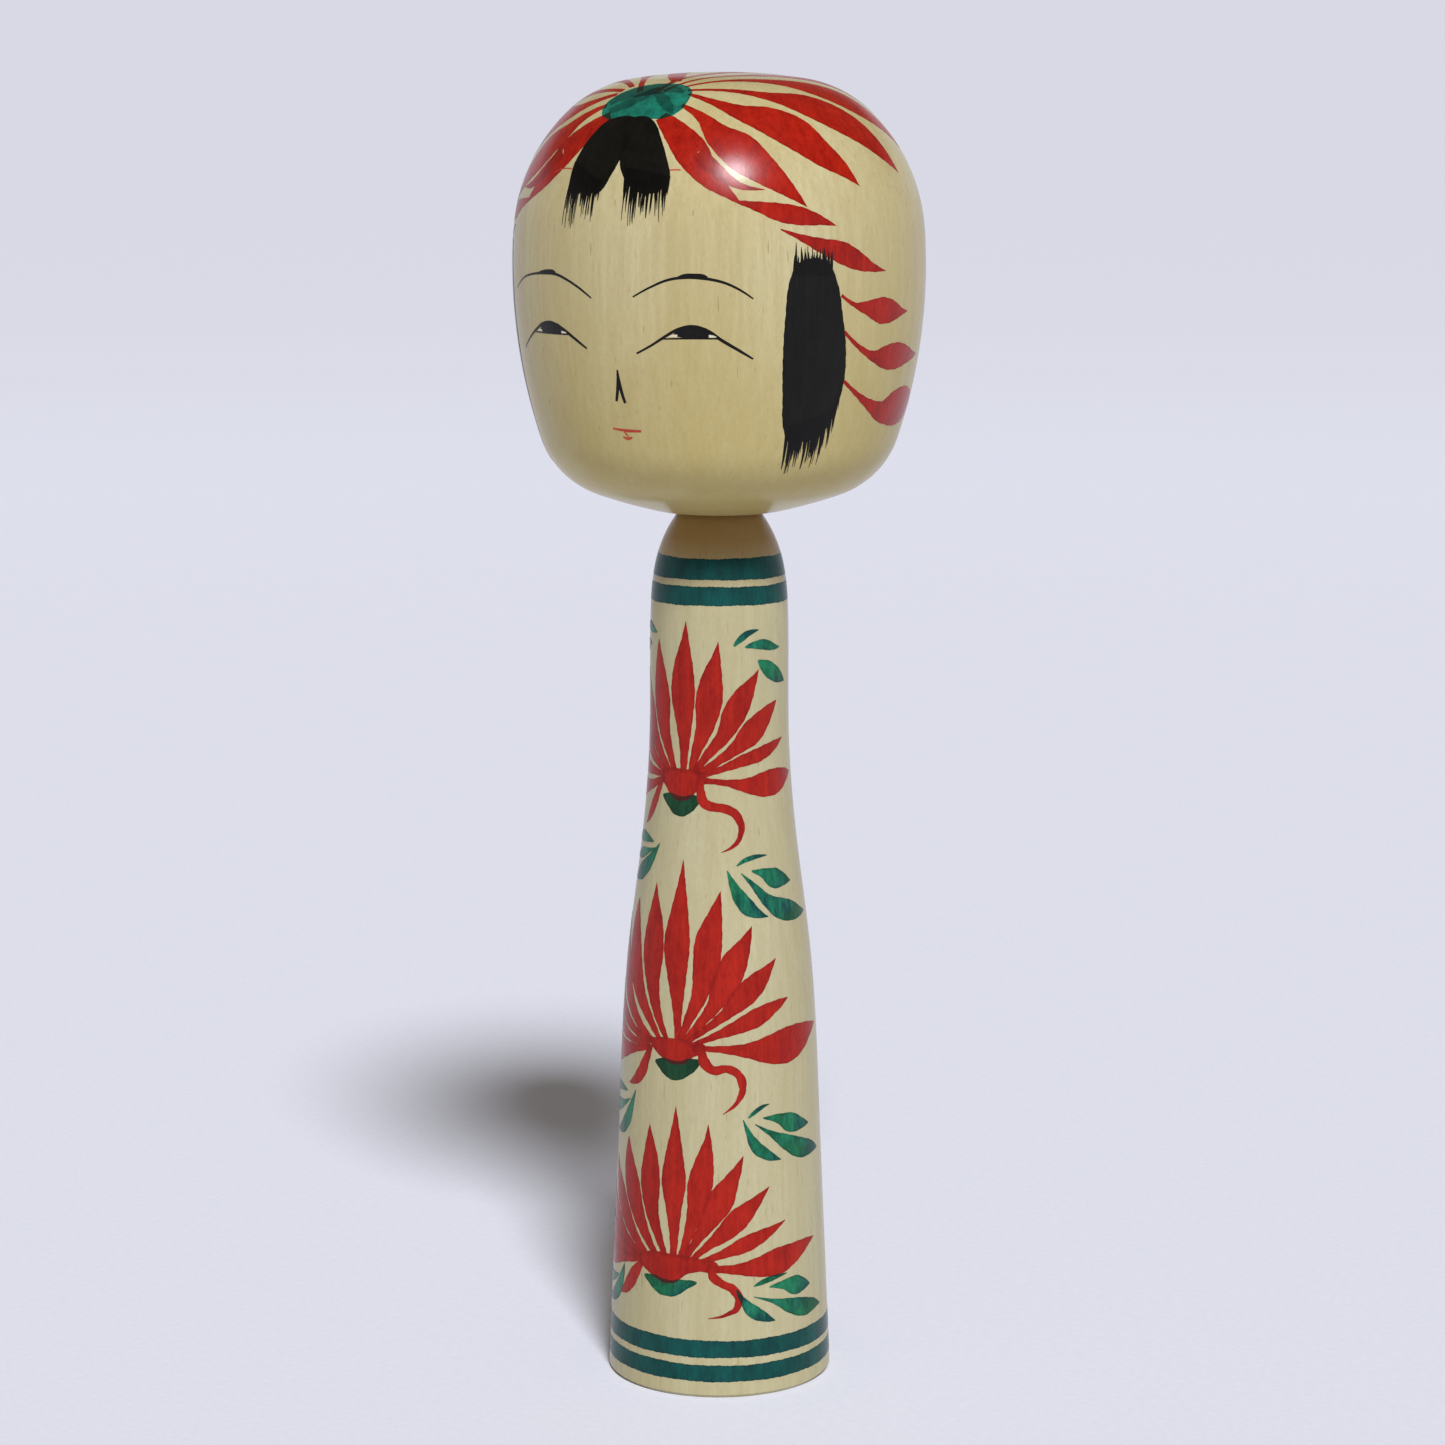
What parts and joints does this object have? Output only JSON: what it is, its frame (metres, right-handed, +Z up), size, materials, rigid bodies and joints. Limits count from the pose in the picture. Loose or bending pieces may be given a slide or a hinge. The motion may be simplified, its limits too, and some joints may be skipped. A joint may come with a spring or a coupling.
{
  "type": "kokeshi doll",
  "caption": "Turned wooden doll with a large round head plugged on a slim flared body, hand painted with a face, radiating hair strokes and stacked flowers.",
  "frame": {"origin": "centre of the flat foot, on the surface that the doll stands on", "axes": "+Z up along the turning axis, -Y the way the painted face looks, +X the doll's left"},
  "size_m": [0.0744, 0.0744, 0.24],
  "materials": {
    "wood": "smooth turned pale wood under clear wax",
    "red_dye": "waxed red dye on wood",
    "green_dye": "waxed green dye on wood",
    "black_ink": "waxed black ink on wood"
  },
  "bodies": {
    "body": {"body": "wood"},
    "head": {"head": "wood"}
  },
  "joints": [
    {"name": "head_turn", "type": "hinge", "parent": "body", "child": "head", "pos_m": [0, 0, 0.1615], "axis": [0, 0, 1], "continuous": true}
  ]
}
